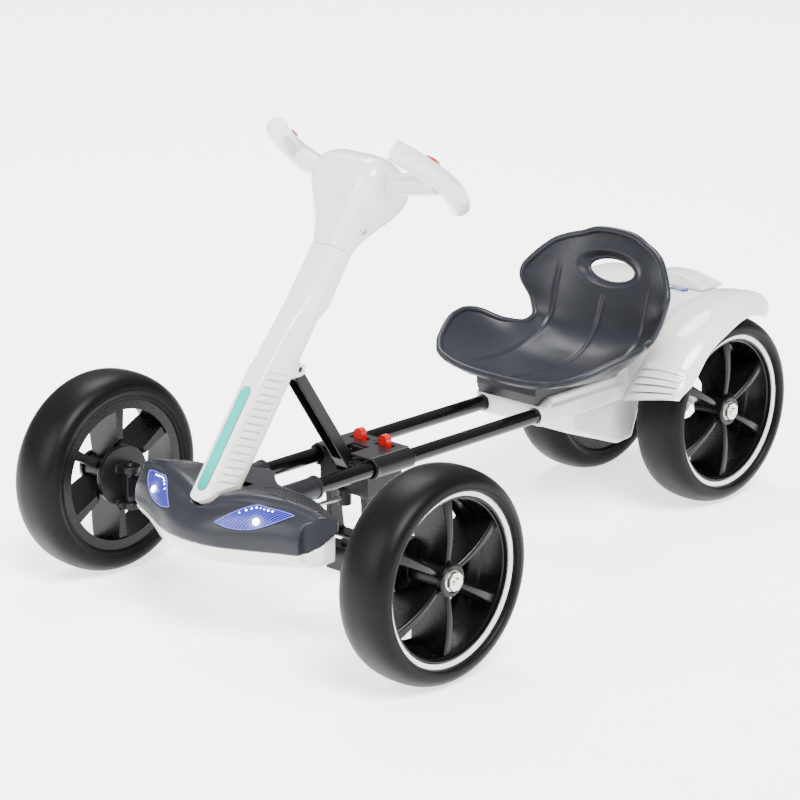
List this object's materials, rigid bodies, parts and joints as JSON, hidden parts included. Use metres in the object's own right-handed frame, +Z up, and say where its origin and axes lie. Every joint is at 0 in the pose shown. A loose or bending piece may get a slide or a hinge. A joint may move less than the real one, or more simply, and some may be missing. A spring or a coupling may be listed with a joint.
{
  "type": "kids electric go-kart",
  "caption": "Low electric ride-on kart for a child: slate nose and bucket seat, white panels, folding steering column with a lit strip, steered front wheels and twin black rails.",
  "frame": {"origin": "on the floor under the middle of the kart", "axes": "+X to the kart's left, +Y towards the rear, +Z up; the kart drives towards -Y"},
  "size_m": [0.6268, 0.986, 0.5773],
  "materials": {
    "black_gloss": "gloss",
    "dark_plastic": "satin",
    "dark_steel": "satin",
    "grey_plate": "satin",
    "lens": "clear tinted",
    "rail_paint": "gloss",
    "red": "gloss",
    "slate": "satin",
    "steel": "brushed",
    "strip_light": "lit translucent",
    "tyre": "satin",
    "white_shell": "gloss",
    "white_trim": "satin"
  },
  "bodies": {
    "frame": {"nose_cover": "slate", "nose_base": "white_shell", "headlamp_left": "lens", "headlamp_right": "lens", "rails": "rail_paint", "rail_sockets": "dark_plastic", "front_beam": "dark_steel", "rear_body": "white_shell", "tail_cover": "white_shell", "battery_box": "white_shell", "motor": "dark_plastic", "rear_axle": "steel", "seat_shell": "slate", "seat_support": "dark_plastic", "fender_left": "white_shell", "fender_right": "white_shell", "tail_light": "lens", "power_button": "red"},
    "knuckle_left": {"knuckle_left": "dark_steel", "stub_axle_left": "steel"},
    "knuckle_right": {"knuckle_right": "dark_steel", "stub_axle_right": "steel"},
    "wheel_front_left": {"rim_front_left": "black_gloss", "tyre_front_left": "tyre", "trim_ring_front_left": "white_trim"},
    "wheel_front_right": {"rim_front_right": "black_gloss", "tyre_front_right": "tyre", "trim_ring_front_right": "white_trim"},
    "wheel_rear_left": {"rim_rear_left": "black_gloss", "tyre_rear_left": "tyre", "trim_ring_rear_left": "white_trim"},
    "wheel_rear_right": {"rim_rear_right": "black_gloss", "tyre_rear_right": "tyre", "trim_ring_rear_right": "white_trim"},
    "column": {"column": "white_shell", "light_strip": "strip_light"},
    "steering_head": {"head_housing": "white_shell", "grip_left": "white_shell", "grip_right": "white_shell", "grip_buttons": "red"},
    "strut": {"strut": "dark_steel"},
    "bracket": {"bracket": "dark_steel", "bracket_plate": "grey_plate", "pinch_levers": "red", "guide_rod": "steel"}
  },
  "joints": [
    {"name": "front_left_spin", "type": "hinge", "parent": "knuckle_left", "child": "wheel_front_left", "pos_m": [0.2769, -0.366, 0.127], "axis": [1, 0, 0], "continuous": true},
    {"name": "front_right_spin", "type": "hinge", "parent": "knuckle_right", "child": "wheel_front_right", "pos_m": [-0.2769, -0.366, 0.127], "axis": [1, 0, 0], "continuous": true},
    {"name": "rear_left_spin", "type": "hinge", "parent": "frame", "child": "wheel_rear_left", "pos_m": [0.1051, 0.366, 0.127], "axis": [1, 0, 0], "continuous": true},
    {"name": "rear_right_spin", "type": "hinge", "parent": "frame", "child": "wheel_rear_right", "pos_m": [-0.1051, 0.366, 0.127], "axis": [1, 0, 0], "continuous": true},
    {"name": "steering_turn", "type": "hinge", "parent": "column", "child": "steering_head", "pos_m": [0, -0.18208, 0.52363], "axis": [0, 0.5878, 0.809], "range_deg": [-35, 35]},
    {"name": "kingpin_left", "type": "hinge", "parent": "frame", "child": "knuckle_left", "pos_m": [0.232, -0.366, 0.127], "axis": [0, 0, 1], "range_deg": [-24.5, 24.5]},
    {"name": "kingpin_right", "type": "hinge", "parent": "frame", "child": "knuckle_right", "pos_m": [-0.232, -0.366, 0.127], "axis": [0, 0, 1], "range_deg": [-24.5, 24.5]},
    {"name": "column_fold", "type": "hinge", "parent": "frame", "child": "column", "pos_m": [0, -0.4078, 0.1655], "axis": [-1, 0, 0], "range_deg": [0, 36]},
    {"name": "strut_swing", "type": "hinge", "parent": "column", "child": "strut", "pos_m": [0, -0.3159, 0.3037], "axis": [1, 0, 0], "range_deg": [0, 72]},
    {"name": "bracket_slide", "type": "slide", "parent": "frame", "child": "bracket", "axis": [0, 1, 0], "range_m": [0, 0.12755]}
  ],
  "couplings": [
    {"joint": "kingpin_left", "follows": "steering_turn", "ratio": 0.7},
    {"joint": "kingpin_right", "follows": "steering_turn", "ratio": 0.7},
    {"joint": "strut_swing", "follows": "column_fold", "ratio": 2},
    {"joint": "bracket_slide", "follows": "column_fold", "m_per_rad": 0.20284}
  ]
}
